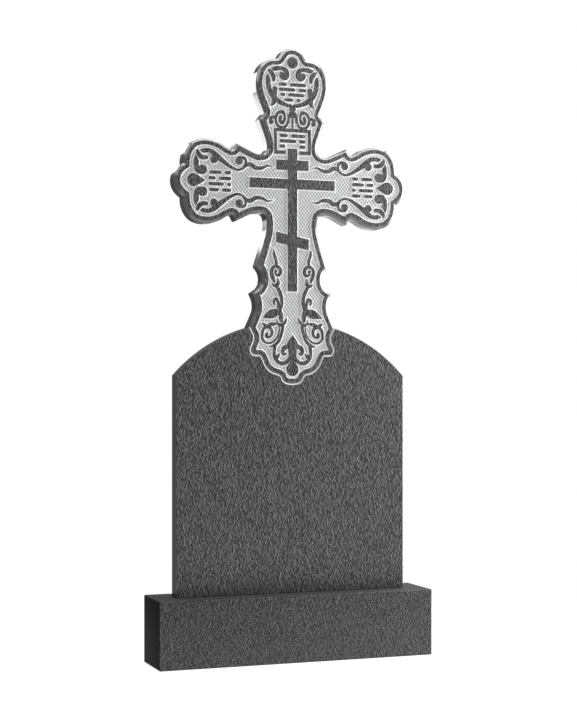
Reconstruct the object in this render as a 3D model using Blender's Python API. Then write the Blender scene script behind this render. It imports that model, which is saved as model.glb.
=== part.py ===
"""Cross headstone: an arched granite slab and a carved cross cut from one stone, on a base block.

Metres, +Z up. The front faces -Y. The origin is under the middle of the base.
"""

import math

import bmesh
import bpy
import numpy as np
from mathutils import Vector
from mathutils.geometry import delaunay_2d_cdt

# Base block, which stands out around the slab by its ledges
BASE_HEIGHT = 0.163
BASE_SIDE_LEDGE = 0.055
BASE_FRONT_LEDGE = 0.053
BASE_ARRIS = 0.003

# Arched slab
SLAB_WIDTH = 0.590
SHOULDER_HEIGHT = 0.530
ARCH_RISE = 0.1325
STONE_THICKNESS = 0.038
BED_GAP = 0.0003

# Cross, whose drawing below scales with its height; its foot hangs below the top of the slab's arch
CROSS_HEIGHT = 0.8112
CROSS_FOOT_DROP = 0.1495
EDGE_CHAMFER = 0.006
BORDER_WIDTH = 0.0095
GROUND_DEPTH = 0.0035

# How closely straight edges follow the drawn curves, and the fewest that a round thing gets
CURVE_TOLERANCE = 0.00065
ARCH_STEPS = 28
BALL_SIDES = 12
DROP_SIDES = 6
END_CAP_STEPS = 8

# Where a moved outline turns sharply, the least of its mitre's share and how far off it may come
MITRE_LIMIT = 0.45
TRIM_SHARE = 0.97

# Depths and points closer than this are one, in metres
SAME = 1e-6

# Colour and roughness of the stone
STELE_STONE = ((0.075, 0.077, 0.080), 0.2)
BASE_STONE = ((0.085, 0.087, 0.090), 0.25)

# The drawing's units are millimetres on a cross of this height, measured from the arms' axis
DRAWN_HEIGHT = 811.2
DRAWN_FOOT = -484.0

# Right half of the cross's outline: each stretch runs smoothly between two sharp corners
CROWN = [(0, 327.2), (11, 325.4), (20, 319.8), (27, 310), (31.5, 303.3), (37, 299.8), (46, 299.2),
         (58, 297), (68, 291.3), (77, 281.8), (83.5, 268), (87.4, 241), (85.3, 225), (73, 189.8),
         (66.6, 171), (78, 154.2)]
NECK = [(78, 154.2), (64.8, 117.2), (60, 102.5), (58.7, 91), (59.8, 80.5), (63.5, 73.5), (69.5, 68),
        (77, 65.2), (86, 64), (96, 66), (112, 72.8), (141, 86)]
ARM_SWELL = [(141, 86), (144.5, 79.3), (149, 74.6), (155.5, 72.6), (164, 75.2), (191, 89.8), (205, 94),
             (220, 95.8), (236, 94), (250, 88), (260.5, 77), (267.5, 62.5), (270.4, 47), (270.6, 36.5)]
ARM_TIP = [(270.6, 36.5), (279, 30.5), (287, 22), (292.3, 12), (294.2, 0)]
HIP = [(141, -86), (100, -67.5), (85, -65.5), (72, -67.8), (64.5, -74), (60.5, -85), (59, -100), (60, -115),
       (66.7, -143), (84.3, -200.5)]
UPPER_BAY = [(84.3, -200.5), (77.7, -209), (73.2, -219), (71.2, -233), (73, -245), (79.3, -257), (95, -269)]
LOWER_BAY = [(95, -269), (90, -281), (87.2, -297), (88.5, -311), (93.2, -323), (105.5, -350)]
ANKLE = [(105.5, -350), (100.5, -359.5), (96.5, -367), (95.4, -376), (97, -386), (103, -399.5), (104, -408),
         (100.5, -413.3)]
FOOT = [(100.5, -413.3), (92, -414.5), (84, -414.2), (78.5, -417.5), (74.5, -424), (66.5, -441.5),
        (59.5, -450), (50, -456.5), (33, -462), (27.5, -465.5), (21, -478), (14, -482), (0, -484)]

# Carved strands: each point is across, up and how wide the strand is there
ARM_VINE = [(234.5, 72.5, 3), (228, 71.5, 11), (219, 72.5, 11), (209, 71, 11.5), (200, 65.5, 13.5),
            (191, 58, 14.5), (176, 47, 11.5), (157, 35, 8.5), (140, 29.3, 6.5), (128, 33, 6.5),
            (118, 42.5, 9.5), (109, 44, 11.5), (95, 36.5, 10.5), (79, 36.5, 8.5), (63, 43.3, 5),
            (49, 39.5, 1)]
ARM_VINE_RING = [(138, 57.5, 10), (130, 59.3, 8), (122.8, 57, 7), (120, 50.5, 6.5), (121.5, 41, 7)]
ARM_HOOK = [(247.2, 59.5, 3), (246.3, 53, 9.5), (245.2, 46, 14), (245.6, 37, 13.5), (244, 28.5, 13.5),
            (238, 22, 14), (229.5, 21.5, 12)]
ARM_CUP = [(242.5, 71.5, 6), (241, 65.5, 11), (236, 59, 12), (229, 55.3, 11.5), (219.5, 55.3, 10)]
CROWN_SCROLL = [(55.5, 281, 2), (48.5, 279.5, 10.5), (41, 280.8, 12), (33, 281.8, 10.5),
                (25, 280.5, 11.5), (17, 275.5, 14), (13.5, 268, 12)]
CROWN_LEAF = [(48.3, 252.5, 9), (48.7, 259, 11.5), (51.8, 266.8, 12), (57.2, 272.6, 11), (63.5, 277, 3.5)]
CROWN_ARC = [(65, 265.5, 3), (63.8, 258.5, 10), (63, 249, 13), (62.6, 240, 12.8), (60.3, 229.5, 12.5),
             (55.5, 219.5, 13), (48, 210.5, 13.5), (38.5, 203, 13), (27.5, 197, 11.5), (15, 193, 10),
             (4, 191.5, 8.5)]
CROWN_TAIL = [(50, 215, 11), (47.7, 204, 13), (50.3, 195, 10), (57.8, 189, 1.5)]
CROWN_CURL = [(45.8, 230.5, 13), (46.3, 222, 13.5), (48, 213, 13)]
VOLUTE_HOOK = [(44, 161.5, 9), (51, 162, 8.5), (56, 158.5, 9), (56, 151.5, 10)]
SHAFT_FLAME = [(47.5, -158.5, 1), (48, -168, 7), (45.5, -178, 8), (42, -188, 8), (42.5, -198, 8)]
SHAFT_SPIRAL = [(47.5, -238, 7), (52, -226, 10), (54.5, -213, 9), (50.5, -204, 9), (43, -200.5, 8.5),
                (34.5, -204.5, 9.5), (31, -214, 10), (36, -222.5, 8), (43.5, -221, 5), (44, -212, 8)]
SHAFT_COLLAR = [(38, -231, 3.5), (37, -239, 8), (40.5, -246, 9), (46.5, -248, 8), (52.5, -242.5, 3)]
COLLAR_EAR = [(33.5, -242.5, 4), (38, -246, 7), (44, -248, 7)]
SHAFT_STEM = [(41, -249, 8), (36, -257, 9.5), (31.5, -267, 10), (28, -281, 9.5), (28, -291, 10),
              (31, -300, 11), (33.5, -309, 12), (30.5, -319, 13), (29, -333, 10)]
SHAFT_CURL = [(36.5, -301, 8), (37.5, -288, 7.5), (42, -280.5, 8.5), (47.5, -284, 7.5), (48, -290, 6.5),
              (45.5, -295, 3.5)]
SHAFT_LEAF = [(34, -308, 8), (41, -312, 17), (50, -315.8, 22.5), (60, -319.3, 19.5), (69, -323, 11),
              (77, -327.3, 1)]
SHAFT_CUP = [(15.5, -327, 3.5), (18.5, -335.5, 7), (25, -342, 8), (33, -343.5, 8), (39, -339, 6),
             (40, -332, 3)]
SPROUT_SIDE = [(43.5, -340.5, 5), (51, -341.5, 10), (59, -344, 10), (66, -348, 9), (73, -343, 8),
               (79, -339.5, 3)]
LOOP_OUTER = [(25, -347, 9), (27.5, -361, 8.5), (32, -374.5, 8.5), (38.5, -386.5, 8.5), (47, -393, 8.5),
              (54.5, -396, 5), (60.5, -395.5, 2)]
LOOP_INNER = [(33.5, -346, 4), (35, -362, 4.5), (41, -376, 5), (50, -384.5, 5.3), (60, -388, 5.5),
              (70, -386, 6), (77.5, -378.5, 7), (78.5, -367, 7.5), (76, -356, 8), (68, -347.5, 9)]
LOOP_CORE = [(66, -347.5, 9), (57.5, -351.5, 8.5), (53.3, -360, 8), (55.5, -369.5, 7.5),
             (62, -373.8, 6.5), (67.5, -371.5, 8.5), (67, -366, 9)]
FOOT_STEM = [(0, -367, 1), (0, -377, 15), (0, -388, 28), (0, -403, 23), (0, -420, 21)]
FOOT_CURL = [(4, -391, 16), (14, -396, 12), (22.5, -400.5, 12), (25.3, -408.5, 10), (21.8, -414.8, 8.5),
             (17, -413, 5)]
FOOT_SCROLL = [(45, -392, 8), (47.3, -409, 9), (46.3, -421, 9.5), (40.5, -431, 10), (30.5, -437, 10.5),
               (20, -436, 10.5), (10, -429, 10.5), (3, -418, 10)]
FOOT_BARB = [(46, -420, 10), (40, -421, 11), (34.5, -415, 5)]

# Round bosses: across, up, radius
ARM_BALLS = [(137.5, 51, 9.8), (200.7, 51.5, 9.8), (229.3, 26.3, 12)]
CROWN_BALLS = [(21.3, 266.2, 13.6), (45.5, 230.5, 7), (55, 150, 6.6)]
CROWN_BOSS = (0, 297.2, 14.3)

# Drops: middle across and up, radius, and the tip's distance from the middle
ARM_DROP = (252, 0.5, 16, 31)
FOOT_DROP = (0, -452.3, 16.2, 28.3)

# Flat bars of the eight-pointed cross, and the frame of its title panel: left, right, bottom, top
BEAM = (-12.6, 12.6, -261.5, 87.5)
TITLE_BAR = (-42.5, 42.5, 34.5, 59.5)
CROSS_BAR = (-111, 111, -11.5, 13)
FRAME_TOP = (-48.3, 48.3, 127.5, 136.3)
FRAME_SIDE = (39.8, 48.3, 73, 130)
FRAME_FOOT = (17, 48.3, 72.8, 82.3)

# The slanted footrest: half its width, its middle's place up, how much its left end is higher, its height
FOOTREST = (42.6, -137.9, 17.2, 26.9)

# Volutes above the panel: a raised oval, middle and half sizes, with a winding slit cut down into it
VOLUTE = (27.5, 157.5, 20, 23.5)
VOLUTE_SLIT = [(26.5, 156.5, 3), (24.8, 163.5, 3), (28, 169.5, 3), (34, 169, 3), (38, 161, 3),
               (37.5, 151, 3.2), (33, 145, 3.2), (26.5, 143.3, 3.2), (19, 147, 3.2), (15.7, 156, 3.2),
               (15.2, 166, 3), (17.5, 174.5, 3), (21, 184, 3)]

# The slit that winds into each scroll of the crown
CROWN_SLIT = [(23, 272.6, 2), (27, 275, 3), (32, 275, 3.4), (36.3, 271.5, 4.2), (38, 265, 4.5)]

# Rows of plain raised strokes: left, right and height of each stroke
ARM_STROKES = [(157, 174, 21), (181, 213, 21), (157, 189, 7), (196, 215, 7), (157, 168, -7), (175, 215, -7),
               (157, 181, -21), (188, 213, -21)]
CROWN_STROKES = [(-36, -14, 243.5), (-7, 36, 243.5), (-36, 8, 231), (15, 36, 231), (-32, -18, 218.5),
                 (-11, 32, 218.5), (-22, 3, 206), (10, 22, 206)]
PANEL_STROKES = [(-34, -12, 118.5), (-5, 34, 118.5), (-34, 10, 105.5), (17, 34, 105.5), (-34, -18, 92.5),
                 (18, 34, 92.5)]
STROKE_WIDTH = 8.6

# The right half of the small arrowhead between the volutes, from its tip down to the panel
ARROWHEAD = [(0, 193), (5, 188.5), (9.8, 184.5), (7, 178.5), (10.5, 174), (9.5, 162), (9.5, 151),
             (6.6, 149), (6, 162), (3, 162), (2.8, 150), (2.8, 134)]


def clear_objects():
    """Empties the scene."""
    for old in list(bpy.data.objects):
        bpy.data.objects.remove(old, do_unlink=True)


def stone_material(name, colour, roughness):
    """A plain stone with one colour and one roughness."""
    material = bpy.data.materials.new(name)
    material.use_nodes = True
    shader = material.node_tree.nodes["Principled BSDF"]
    shader.inputs["Base Color"].default_value = (*colour, 1)
    shader.inputs["Roughness"].default_value = roughness
    shader.inputs["Metallic"].default_value = 0
    return material


def smooth_curve(points, samples=12):
    """A smooth curve through the points, any number of values each; the first two are across and up."""
    points = np.array(points, float)
    chords = np.linalg.norm(np.diff(points[:, :2], axis=0), axis=1)
    slopes = np.diff(points, axis=0) / chords[:, None]
    tangents = np.empty_like(points)
    tangents[0] = slopes[0]
    tangents[-1] = slopes[-1]
    before, after = chords[:-1, None], chords[1:, None]
    tangents[1:-1] = (slopes[:-1] * after + slopes[1:] * before) / (before + after)
    pieces = []
    for i, chord in enumerate(chords):
        t = np.linspace(0, 1, samples, endpoint=False)[:, None]
        start, end = points[i], points[i + 1]
        pieces.append((2 * t**3 - 3 * t**2 + 1) * start + (t**3 - 2 * t**2 + t) * chord * tangents[i]
                      + (3 * t**2 - 2 * t**3) * end + (t**3 - t**2) * chord * tangents[i + 1])
    return np.vstack([*pieces, points[-1:]])


def simplified(line, tolerance):
    """The fewest of the line's points that keep within the tolerance of it."""
    if len(line) < 3:
        return line
    start, end = line[0], line[-1]
    along = end - start
    length = np.linalg.norm(along)
    offsets = line - start
    if length > 0:
        away = np.abs(offsets[:, 0] * along[1] - offsets[:, 1] * along[0]) / length
    else:
        away = np.linalg.norm(offsets, axis=1)
    furthest = int(np.argmax(away))
    if away[furthest] <= tolerance:
        return np.array([start, end])
    first = simplified(line[:furthest + 1], tolerance)
    second = simplified(line[furthest:], tolerance)
    return np.vstack([first[:-1], second])


def mirrored(points, across=True):
    """The points on the other side of the cross's middle line, or of the arms' axis."""
    flip = np.array([-1, 1]) if across else np.array([1, -1])
    return (np.array(points, float) * flip)[::-1]


def cross_outline(tolerance):
    """The front edge of the cross, clockwise from its crown as seen from the front, closed."""
    right = [smooth_curve(CROWN), smooth_curve(NECK), smooth_curve(ARM_SWELL)]
    tip = smooth_curve(ARM_TIP + [(x, -z) for x, z in ARM_TIP[-2::-1]])
    right += [tip, mirrored(smooth_curve(ARM_SWELL), across=False)]
    right += [smooth_curve(stretch) for stretch in (HIP, UPPER_BAY, LOWER_BAY, ANKLE, FOOT)]
    kept = [simplified(stretch, tolerance)[:-1] for stretch in right]
    half = np.vstack([*kept, [FOOT[-1]]])
    return np.vstack([half[:-1], mirrored(half)[:-1]])


def distances_to(points, outline):
    """Each point's distance to the closed outline."""
    points = np.asarray(points, float)
    nearest = np.full(len(points), np.inf)
    for start, end in zip(outline, np.roll(outline, -1, axis=0)):
        along = end - start
        share = np.clip((points - start) @ along / (along @ along), 0, 1)
        nearest = np.minimum(nearest, np.linalg.norm(points - start - share[:, None] * along, axis=1))
    return nearest


def offset_outline(outline, distance):
    """The clockwise outline moved outwards, or inwards if the distance is negative, its overlaps trimmed."""
    before = outline - np.roll(outline, 1, axis=0)
    after = np.roll(outline, -1, axis=0) - outline
    before /= np.linalg.norm(before, axis=1)[:, None]
    after /= np.linalg.norm(after, axis=1)[:, None]
    normals = np.column_stack([-(before + after)[:, 1], (before + after)[:, 0]])
    normals /= np.linalg.norm(normals, axis=1)[:, None]
    side = np.column_stack([-after[:, 1], after[:, 0]])
    stretch = 1 / np.maximum((normals * side).sum(axis=1), MITRE_LIMIT)
    moved = outline + normals * (stretch * distance)[:, None]
    return moved[distances_to(moved, outline) > abs(distance) * TRIM_SHARE]


def strand(points, tolerance):
    """A carved strand with round ends along a smooth line of changing width."""
    line = smooth_curve(points)
    middle, half = line[:, :2], line[:, 2] / 2
    heading = np.gradient(middle, axis=0)
    heading /= np.linalg.norm(heading, axis=1)[:, None]
    normal = np.column_stack([-heading[:, 1], heading[:, 0]])
    left = middle + normal * half[:, None]
    right = middle - normal * half[:, None]
    angles = np.linspace(0, math.pi, END_CAP_STEPS + 1)[1:-1, None]
    end_cap = middle[-1] + half[-1] * (np.cos(angles) * normal[-1] + np.sin(angles) * heading[-1])
    start_cap = middle[0] - half[0] * (np.cos(angles) * normal[0] + np.sin(angles) * heading[0])
    loop = np.vstack([left, end_cap, right[::-1], start_cap, left[:1]])
    return simplified(loop, tolerance)[:-1]


def disc(across, up, radius, tolerance):
    """A round boss, with as many sides as the tolerance needs."""
    sides = max(BALL_SIDES, math.ceil(math.pi / math.acos(1 - tolerance / radius)))
    angles = 2 * math.pi * np.arange(sides) / sides
    return np.column_stack([across + radius * np.cos(angles), up + radius * np.sin(angles)])


def drop(across, up, radius, reach, heading, tolerance):
    """A teardrop: a round boss drawn out to a tip, which points along the heading."""
    spread = math.acos(radius / reach)
    steps = max(DROP_SIDES, math.ceil((math.pi - spread) / math.acos(1 - tolerance / radius)))
    angles = heading + np.linspace(spread, 2 * math.pi - spread, steps)
    round_part = np.column_stack([across + radius * np.cos(angles), up + radius * np.sin(angles)])
    tip = (across + reach * math.cos(heading), up + reach * math.sin(heading))
    return np.vstack([[tip], round_part])


def bar(left, right, bottom, top):
    """A flat bar with square ends."""
    return np.array([(left, bottom), (right, bottom), (right, top), (left, top)], float)


def slanted_bar(half_width, middle, rise, height):
    """The footrest: its left end stands higher than its right."""
    left_up, right_up = middle + rise / 2, middle - rise / 2
    half = height / 2
    return np.array([(-half_width, left_up - half), (half_width, right_up - half),
                     (half_width, right_up + half), (-half_width, left_up + half)])


def oval(across, up, half_width, half_height, tolerance):
    """A round boss stretched upwards."""
    circle = disc(0, 0, half_width, tolerance)
    return circle * (1, half_height / half_width) + (across, up)


def stroke(left, right, up, tolerance):
    """A plain stroke, round at both ends."""
    half = STROKE_WIDTH / 2
    return strand([(left + half, up, STROKE_WIDTH), (right - half, up, STROKE_WIDTH)], tolerance)


def raised_shapes(tolerance):
    """Everything left standing on the sunk ground, in the drawing's units."""
    def strands(*lines):
        return [strand(line, tolerance) for line in lines]

    def discs(balls):
        return [disc(*ball, tolerance) for ball in balls]

    quarter = strands(ARM_VINE, ARM_VINE_RING, ARM_HOOK, ARM_CUP) + discs(ARM_BALLS)
    arm = quarter + [mirrored(shape, across=False) for shape in quarter]
    arm.append(drop(*ARM_DROP, math.pi, tolerance))
    arm += [stroke(*line, tolerance) for line in ARM_STROKES]
    crown = strands(CROWN_SCROLL, CROWN_LEAF, CROWN_ARC, CROWN_TAIL, CROWN_CURL, VOLUTE_HOOK)
    crown += discs(CROWN_BALLS) + [oval(*VOLUTE, tolerance), bar(*FRAME_SIDE), bar(*FRAME_FOOT)]
    shaft = strands(SHAFT_FLAME, SHAFT_SPIRAL, SHAFT_COLLAR, COLLAR_EAR, SHAFT_STEM, SHAFT_CURL, SHAFT_LEAF)
    shaft += strands(SHAFT_CUP, SPROUT_SIDE, LOOP_OUTER, LOOP_INNER, LOOP_CORE)
    foot = strands(FOOT_CURL, FOOT_SCROLL, FOOT_BARB)
    half = arm + crown + shaft + foot
    both = half + [mirrored(shape) for shape in half]
    middle = [disc(*CROWN_BOSS, tolerance), np.vstack([ARROWHEAD, mirrored(ARROWHEAD)[:-1]])]
    middle += [bar(*FRAME_TOP), strand(FOOT_STEM, tolerance), drop(*FOOT_DROP, math.pi / 2, tolerance)]
    middle += [bar(*BEAM), bar(*TITLE_BAR), bar(*CROSS_BAR), slanted_bar(*FOOTREST)]
    middle += [stroke(*line, tolerance) for line in CROWN_STROKES + PANEL_STROKES]
    return both + middle


def slits(tolerance):
    """Grooves cut down to the ground through the raised shapes."""
    right = [strand(VOLUTE_SLIT, tolerance), strand(CROWN_SLIT, tolerance)]
    return right + [mirrored(shape) for shape in right]


def slab_outline():
    """The slab's front, with a flat foot, upright sides and an arched top, anticlockwise."""
    half = SLAB_WIDTH / 2
    radius = (half**2 + ARCH_RISE**2) / (2 * ARCH_RISE)
    swing = math.asin(half / radius)
    middle = SHOULDER_HEIGHT + ARCH_RISE - radius
    angles = np.linspace(swing, -swing, ARCH_STEPS + 1)
    arch = np.column_stack([radius * np.sin(angles), middle + radius * np.cos(angles)])
    return np.vstack([[(-half, 0), (half, 0)], arch])


def inside(points, outline):
    """Which points the closed outline winds around."""
    x, z = points[:, 0], points[:, 1]
    winding = np.zeros(len(points), int)
    for (x0, z0), (x1, z1) in zip(outline, np.roll(outline, -1, axis=0)):
        side = (x1 - x0) * (z - z0) - (x - x0) * (z1 - z0)
        winding += (z0 <= z) & (z1 > z) & (side > 0)
        winding -= (z0 > z) & (z1 <= z) & (side < 0)
    return winding != 0


def inside_any(points, outlines):
    """Which points lie inside at least one of the outlines."""
    return np.any([inside(points, outline) for outline in outlines], axis=0)


def triangulated(outlines):
    """Triangles whose edges follow every outline, also where the outlines cross."""
    points = []
    edges = []
    for outline in outlines:
        first = len(points)
        count = len(outline)
        points += [Vector(point) for point in outline]
        edges += [(first + i, first + (i + 1) % count) for i in range(count)]
    corners, _, triangles, *_ = delaunay_2d_cdt(points, edges, [], 0, SAME)
    return np.array([tuple(corner) for corner in corners]), np.array(triangles)


def stele_front():
    """Plan points, triangles, each triangle's kind, and each point's depth on the cross's sloping edge."""
    unit = CROSS_HEIGHT / DRAWN_HEIGHT
    foot = SHOULDER_HEIGHT + ARCH_RISE - CROSS_FOOT_DROP
    lift = foot - DRAWN_FOOT * unit
    tolerance = CURVE_TOLERANCE / unit

    def placed(shape):
        return np.asarray(shape, float) * unit + (0, lift)

    slab = slab_outline()
    cross = placed(cross_outline(tolerance))
    brim = offset_outline(cross, EDGE_CHAMFER)
    pocket = offset_outline(cross, -BORDER_WIDTH)
    raised = [placed(shape) for shape in raised_shapes(tolerance)]
    cut = [placed(shape) for shape in slits(tolerance)]
    points, triangles = triangulated([slab, cross, brim, pocket, *raised, *cut])
    centres = points[triangles].mean(axis=1)
    in_cross = inside(centres, cross)
    in_brim = inside(centres, brim)
    standing = inside_any(centres, raised) & ~inside_any(centres, cut)
    on_ground = inside(centres, pocket) & ~standing
    kinds = np.where(inside(centres, slab), "face", "outside")
    kinds[in_brim] = "slope"
    kinds[in_cross] = "face"
    kinds[on_ground] = "ground"
    slope_depths = np.minimum(distances_to(points, cross), EDGE_CHAMFER)
    return points, triangles, kinds, slope_depths


class Relief:
    """Builds one closed body from a plan whose triangles lie at different depths below the front."""

    def __init__(self, points):
        self.mesh = bmesh.new()
        self.points = points
        self.corners = {}
        self.levels = {}

    def corner(self, point, step):
        """The corner at a plan point, at a depth counted in steps of the smallest length."""
        if (point, step) not in self.corners:
            x, z = self.points[point]
            self.corners[point, step] = self.mesh.verts.new((x, step * SAME, z))
        return self.corners[point, step]

    def note_level(self, point, step):
        """Remembers that a triangle meets this plan point at this depth."""
        self.levels.setdefault(point, set()).add(step)

    def upright(self, point, here, there):
        """The corners on the line into the stone at a plan point, from one depth to another."""
        if here == there:
            return [self.corner(point, here)]
        nearer, deeper = sorted((here, there))
        between = [step for step in sorted(self.levels[point]) if nearer < step < deeper]
        line = [self.corner(point, step) for step in (nearer, *between, deeper)]
        return line if here < there else line[::-1]

    def wall(self, start, end, depths_here, depths_there):
        """The wall along an edge between this side's depths and the other side's."""
        first = self.upright(start, depths_here[0], depths_there[0])
        second = self.upright(end, depths_here[1], depths_there[1])
        loop = first + second[::-1]
        if len(loop) > 2:
            self.mesh.faces.new(loop)


def relief_body(points, triangles, depths, thickness):
    """One closed body: the triangles at their depths, walls where they differ, sides and a flat back."""
    relief = Relief(points)
    back = round(thickness / SAME)
    steps = np.round(depths / SAME).astype(int).tolist()
    edges = {}
    for triangle, depth in zip(triangles.tolist(), steps):
        for i in range(3):
            start, end = triangle[i], triangle[(i + 1) % 3]
            edges[start, end] = (depth[i], depth[(i + 1) % 3])
            relief.note_level(start, depth[i])
    for triangle, depth in zip(triangles.tolist(), steps):
        relief.mesh.faces.new([relief.corner(point, step) for point, step in zip(triangle, depth)])
    rim = {}
    for (start, end), here in edges.items():
        if (end, start) not in edges:
            rim[start] = end
            relief.wall(end, start, here[::-1], (back, back))
            continue
        there = edges[end, start][::-1]
        if start < end and here != there:
            relief.wall(end, start, here[::-1], there[::-1])
    loop = [next(iter(rim))]
    while rim[loop[-1]] != loop[0]:
        loop.append(rim[loop[-1]])
    relief.mesh.faces.new([relief.corner(point, back) for point in reversed(loop)])
    return relief.mesh


def build_stele():
    """The slab and its cross, with the front carved and the back plain."""
    points, triangles, kinds, slope_depths = stele_front()
    kept = kinds != "outside"
    triangles, kinds = triangles[kept], kinds[kept]
    level = np.where(kinds == "ground", GROUND_DEPTH, 0.0)
    depths = np.where((kinds == "slope")[:, None], slope_depths[triangles], level[:, None])
    mesh = relief_body(points, triangles, depths, STONE_THICKNESS)
    bmesh.ops.recalc_face_normals(mesh, faces=mesh.faces)
    stele = add_object("stele", mesh, stone_material("polished granite", *STELE_STONE))
    stele.location = (0, -STONE_THICKNESS / 2, BASE_HEIGHT + BED_GAP)
    return stele


def build_base():
    """The block under the stele, with its edges taken off."""
    width = SLAB_WIDTH + 2 * BASE_SIDE_LEDGE
    depth = STONE_THICKNESS + 2 * BASE_FRONT_LEDGE
    mesh = bmesh.new()
    bmesh.ops.create_cube(mesh, size=1)
    bmesh.ops.scale(mesh, vec=(width, depth, BASE_HEIGHT), verts=mesh.verts)
    base = add_object("base", mesh, stone_material("polished granite base", *BASE_STONE))
    base.location = (0, 0, BASE_HEIGHT / 2)
    arris = base.modifiers.new("Arris", "BEVEL")
    arris.width = BASE_ARRIS
    arris.segments = 1
    return base


def add_object(name, mesh, material):
    """Puts a finished mesh in the scene as a named object of one material."""
    data = bpy.data.meshes.new(name)
    mesh.to_mesh(data)
    mesh.free()
    data.materials.append(material)
    item = bpy.data.objects.new(name, data)
    bpy.context.scene.collection.objects.link(item)
    return item


def main():
    clear_objects()
    build_base()
    build_stele()


main()
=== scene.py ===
"""Looks of the cross headstone: the carved front as a fine mesh, the granite, the studio and the camera.

Metres, +Z up. The front faces -Y.
"""

import math

import bmesh
import bpy
import numpy as np
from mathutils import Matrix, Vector
from mathutils.geometry import delaunay_2d_cdt
from mathutils.kdtree import KDTree


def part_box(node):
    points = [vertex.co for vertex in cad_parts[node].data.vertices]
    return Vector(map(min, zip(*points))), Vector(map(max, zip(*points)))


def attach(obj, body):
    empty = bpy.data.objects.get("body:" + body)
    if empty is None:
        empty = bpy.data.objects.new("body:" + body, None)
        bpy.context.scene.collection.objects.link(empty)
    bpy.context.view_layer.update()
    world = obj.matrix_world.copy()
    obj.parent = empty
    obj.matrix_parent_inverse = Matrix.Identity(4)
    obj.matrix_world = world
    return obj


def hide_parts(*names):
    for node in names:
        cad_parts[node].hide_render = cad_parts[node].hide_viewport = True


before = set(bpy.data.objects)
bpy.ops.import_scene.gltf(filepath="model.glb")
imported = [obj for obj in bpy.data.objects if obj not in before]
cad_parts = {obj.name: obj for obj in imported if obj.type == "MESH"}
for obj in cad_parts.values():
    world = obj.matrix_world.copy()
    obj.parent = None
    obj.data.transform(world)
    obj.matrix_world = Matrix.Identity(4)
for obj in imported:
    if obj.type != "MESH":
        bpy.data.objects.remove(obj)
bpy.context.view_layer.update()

# Slab, with small arrises along its edges
SLAB_WIDTH = 0.590
SHOULDER_HEIGHT = 0.530
ARCH_RISE = 0.1325
ARCH_STEPS = 90
SLAB_ARRIS = 0.0012

# Cross, whose drawing below scales with its height; its foot hangs below the top of the slab's arch
CROSS_HEIGHT = 0.8112
CROSS_FOOT_DROP = 0.1495
EDGE_CHAMFER = 0.006
BORDER_WIDTH = 0.0095
GROUND_DEPTH = 0.0035

# Carved walls lean outwards over this run, down to the ground
WALL_RUN = 0.0026

# The cross's sloping edge is polished; over the slab a pale flank this wide rises again beside it
SEAM_WIDTH = 0.0034

# Dotted ground: its period across and up, its two slanted waves (rise, start in degrees, share) and the
# dots' height
DOT_ACROSS = 0.00823
DOT_UP = 0.01075
DOT_WAVES = [(1, 120, 0.6), (-1, 88, 0.4)]
DOT_HEIGHT = 0.0010

# How closely straight edges follow the drawn curves, the fewest steps round a boss and round a drop, and
# the steps round a strand's end
CURVE_TOLERANCE = 0.00012
BALL_SIDES = 24
DROP_SIDES = 24
END_CAP_STEPS = 8

# Spacing of the extra points at the walls' feet, in the valleys and along the walls' top edges, and how
# many of them a dot's period gets each way
FOOT_STEP = 0.0018
VALLEY_STEP = 0.0015
WALL_SAMPLE = 0.0004
DOT_SAMPLES = 4

# Distances from a wall's top edge, as shares of its run: the least at its foot, the least and the most in a
# valley, and the least among the dots and on flat ground
FOOT_SHARE = 0.985
VALLEY_LEAST = 0.3
VALLEY_MOST = 0.85
DOTS_SHARE = 1.25
FLAT_SHARE = 0.97

# When an outline is moved, its mitres are stretched by no more than 1 / MITRE_LIMIT, and points that come
# nearer to the old outline than TRIM_SHARE of the distance are dropped
MITRE_LIMIT = 0.45
TRIM_SHARE = 0.97

# Depths and points closer than this are one, in metres
SAME = 1e-6

# Base block's rounded edges
BASE_ROUNDING = 0.0025
ROUNDING_STEPS = 3

# Edges that turn by more degrees than this stay sharp
STELE_SHARP_ANGLE = 32
BASE_SHARP_ANGLE = 35

# The base's faces are told apart by their normals: an end's points sideways by more than END_FACING, and
# the top's points forwards or backwards by less than FRONT_FACING
END_FACING = 0.9
FRONT_FACING = 0.3

# The pieces' materials, in the order of their slots
POLISHED, GROUND, CUT, SIDES_PAINTED_SHADE, EDGE_PAINTED_LIGHT, FLANK = range(6)
BASE_FRONT, BASE_TOP_PAINTED_LIGHT, BASE_ENDS_PAINTED_SHADE = range(3)

# Granite surfaces: level, contrast, crystal width and height, roughness, gloss
FACE_STONE = (0.0705, 1.0, 0.0025, 0.0052, 0.45, 0.25)
# The sides' granite is a darker, almost plain copy of the face's granite: painted shade on the sides
SIDE_STONE_PAINTED_SHADE = (0.03, 0.12, 0.0024, 0.0054, 0.15, 0.25)
# The sloping edge's granite is a paler, almost plain copy of the face's granite: painted light on the edge
EDGE_STONE_PAINTED_LIGHT = (0.14, 0.12, 0.0024, 0.0054, 0.2, 1.0)
FRONT_STONE = (0.0525, 1.0, 0.0028, 0.0028, 0.45, 0.25)
# The base's top is a paler copy of its granite, painted light; its ends are a near-black copy, painted
# shade
TOP_STONE_PAINTED_LIGHT = (0.075, 0.15, 0.0026, 0.0029, 0.5, 0.07)
END_STONE_PAINTED_SHADE = (0.014, 0.15, 0.0026, 0.0029, 0.6, 0.015)

# Cut surfaces: darkest and palest level, roughness
GROUND_STONE = (0.3, 1.0, 0.85)
WALL_STONE = (0.92, 0.99, 0.7)
FLANK_STONE = (0.93, 0.99, 0.7)

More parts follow.
